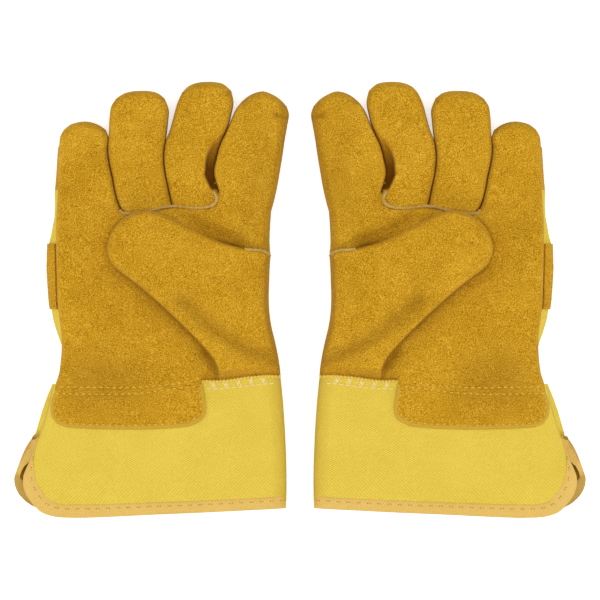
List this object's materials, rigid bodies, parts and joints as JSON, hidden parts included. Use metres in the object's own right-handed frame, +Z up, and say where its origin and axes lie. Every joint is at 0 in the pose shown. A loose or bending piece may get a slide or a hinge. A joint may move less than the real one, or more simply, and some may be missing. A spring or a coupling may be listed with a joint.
{
  "type": "pair of work gloves",
  "caption": "Leather-palmed work gloves with fabric backs, knuckle straps, a thumb lying on the palm, pulse patches and stiff canvas safety cuffs, laid palm up as a mirror pair.",
  "frame": {"origin": "middle of the pair's box, on the plane the gloves lie on", "axes": "+X across the pair towards the left-hand glove, +Y towards the fingertips, +Z up out of the palms"},
  "size_m": [0.3492, 0.2648, 0.0424],
  "materials": {
    "suede": "split-leather suede with a short nap",
    "canvas": "woven cotton drill",
    "binding": "folded woven tape, sewn on",
    "welt": "thin rolled leather strip",
    "lining": "brushed cotton, unseen",
    "elastic": "woven elastic, unseen"
  },
  "bodies": {
    "right_hand": {"right_palm_leather": "suede", "right_palm_lining": "lining", "right_back_fabric": "canvas", "right_knuckle_strap": "suede", "right_wrist_elastic": "elastic", "right_pulse_patch": "suede", "right_cuff_front": "canvas", "right_cuff_back": "canvas", "right_cuff_front_binding": "binding", "right_cuff_back_binding": "binding", "right_finger_welt": "welt", "right_thumb_welt": "welt", "right_thumb_base": "suede"},
    "right_thumb": {"right_thumb_front": "suede", "right_thumb_back": "suede"},
    "right_index": {"right_index_front": "suede", "right_index_back": "suede"},
    "right_middle": {"right_middle_front": "suede", "right_middle_back": "canvas", "right_middle_tip": "suede"},
    "right_ring": {"right_ring_front": "suede", "right_ring_back": "canvas", "right_ring_tip": "suede"},
    "right_little": {"right_little_front": "suede", "right_little_back": "canvas", "right_little_tip": "suede"},
    "left_hand": {"left_palm_leather": "suede", "left_palm_lining": "lining", "left_back_fabric": "canvas", "left_knuckle_strap": "suede", "left_wrist_elastic": "elastic", "left_pulse_patch": "suede", "left_cuff_front": "canvas", "left_cuff_back": "canvas", "left_cuff_front_binding": "binding", "left_cuff_back_binding": "binding", "left_finger_welt": "welt", "left_thumb_welt": "welt", "left_thumb_base": "suede"},
    "left_thumb": {"left_thumb_front": "suede", "left_thumb_back": "suede"},
    "left_index": {"left_index_front": "suede", "left_index_back": "suede"},
    "left_middle": {"left_middle_front": "suede", "left_middle_back": "canvas", "left_middle_tip": "suede"},
    "left_ring": {"left_ring_front": "suede", "left_ring_back": "canvas", "left_ring_tip": "suede"},
    "left_little": {"left_little_front": "suede", "left_little_back": "canvas", "left_little_tip": "suede"}
  },
  "joints": [
    {"name": "right_thumb_lift", "type": "hinge", "parent": "right_hand", "child": "right_thumb", "pos_m": [-0.04335, -0.00815, 0.03268], "axis": [0.1318, 0.9913, 0], "range_deg": [0, 70]},
    {"name": "right_index_curl", "type": "hinge", "parent": "right_hand", "child": "right_index", "pos_m": [-0.0336, 0.05447, 0.024], "axis": [0.9966, -0.0819, 0], "range_deg": [0, 80]},
    {"name": "right_middle_curl", "type": "hinge", "parent": "right_hand", "child": "right_middle", "pos_m": [-0.06433, 0.05611, 0.024], "axis": [0.9996, -0.0265, 0], "range_deg": [0, 80]},
    {"name": "right_ring_curl", "type": "hinge", "parent": "right_hand", "child": "right_ring", "pos_m": [-0.09328, 0.05521, 0.024], "axis": [0.9968, 0.0802, 0], "range_deg": [0, 80]},
    {"name": "right_little_curl", "type": "hinge", "parent": "right_hand", "child": "right_little", "pos_m": [-0.12866, 0.05235, 0.024], "axis": [0.9968, 0.0802, 0], "range_deg": [0, 80]},
    {"name": "left_glove_apart", "type": "slide", "parent": "right_hand", "child": "left_hand", "axis": [1, 0, 0], "range_m": [0, 0.3]},
    {"name": "left_thumb_lift", "type": "hinge", "parent": "left_hand", "child": "left_thumb", "pos_m": [0.04335, -0.00815, 0.03268], "axis": [0.1318, -0.9913, 0], "range_deg": [0, 70]},
    {"name": "left_index_curl", "type": "hinge", "parent": "left_hand", "child": "left_index", "pos_m": [0.0336, 0.05447, 0.024], "axis": [0.9966, 0.0819, 0], "range_deg": [0, 80]},
    {"name": "left_middle_curl", "type": "hinge", "parent": "left_hand", "child": "left_middle", "pos_m": [0.06433, 0.05611, 0.024], "axis": [0.9996, 0.0265, 0], "range_deg": [0, 80]},
    {"name": "left_ring_curl", "type": "hinge", "parent": "left_hand", "child": "left_ring", "pos_m": [0.09328, 0.05521, 0.024], "axis": [0.9968, -0.0802, 0], "range_deg": [0, 80]},
    {"name": "left_little_curl", "type": "hinge", "parent": "left_hand", "child": "left_little", "pos_m": [0.12866, 0.05235, 0.024], "axis": [0.9968, -0.0802, 0], "range_deg": [0, 80]}
  ]
}
